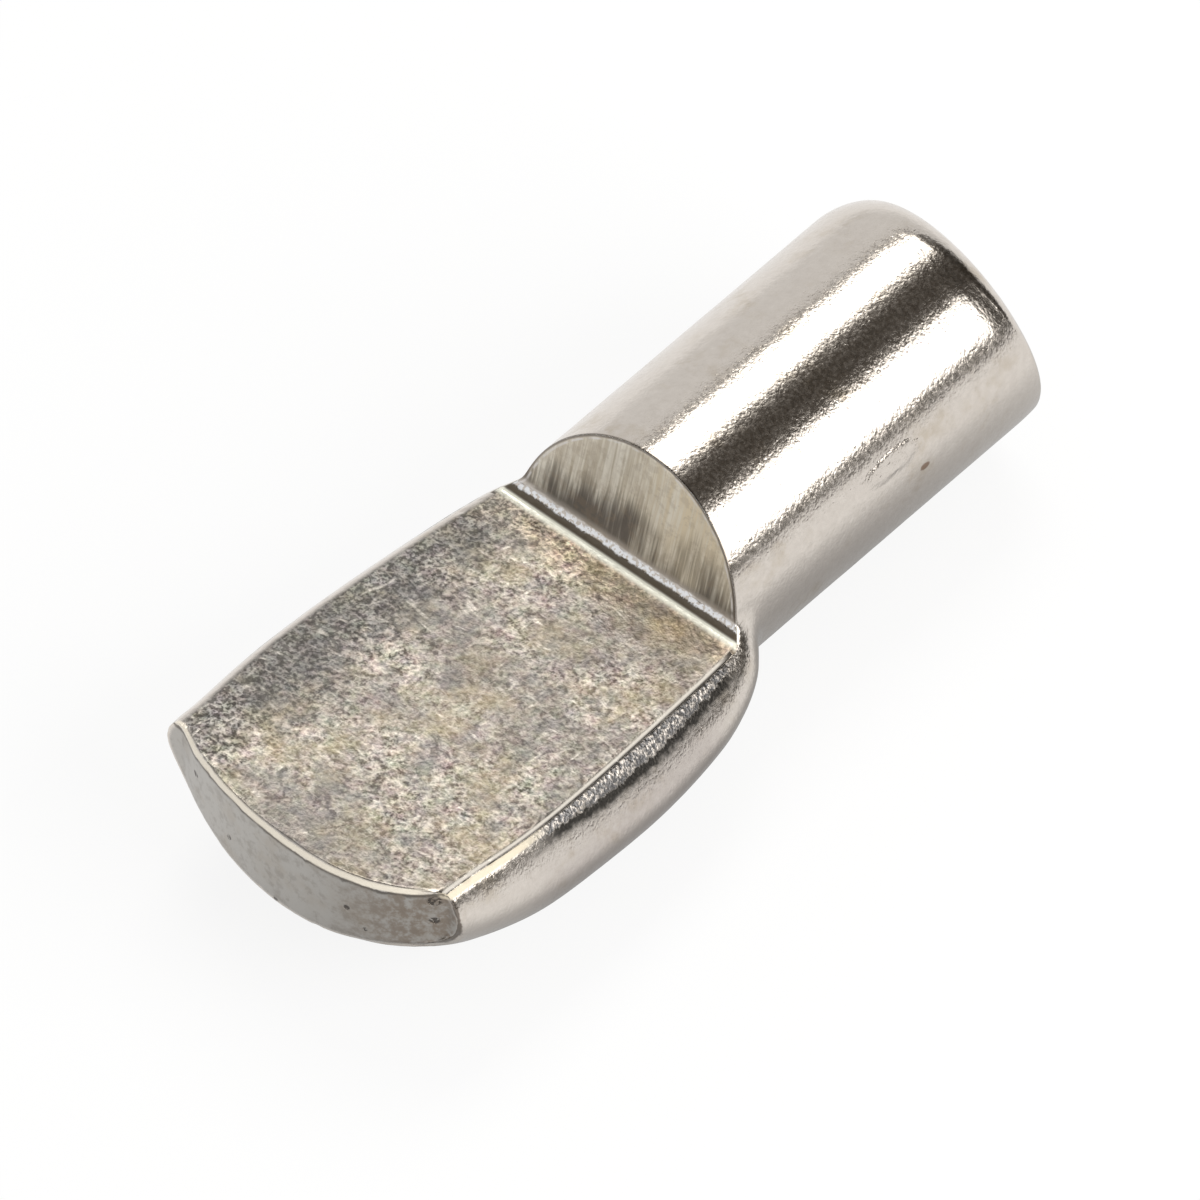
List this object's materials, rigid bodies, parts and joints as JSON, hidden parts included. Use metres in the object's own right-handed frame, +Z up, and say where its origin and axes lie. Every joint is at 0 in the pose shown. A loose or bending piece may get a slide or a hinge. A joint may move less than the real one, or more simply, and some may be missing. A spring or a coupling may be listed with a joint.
{
  "type": "shelf support pin",
  "caption": "Round steel pin with a spoon-like blade, flat on top, that plugs into a drilled cabinet side and carries a shelf.",
  "frame": {"origin": "on the pin's axis where its full round starts, in the plane of the cabinet side", "axes": "+Y along the round pin towards its free end, -Y along the blade, +Z up, out of the blade's flat, which carries the shelf"},
  "size_m": [0.0074, 0.0179, 0.0052],
  "materials": {
    "plated_steel": "thin nickel plating on steel, satin to glossy on the round pin, matt and mottled on the pressed flat"
  },
  "bodies": {
    "root": {"support_pin": "plated_steel"}
  },
  "joints": []
}
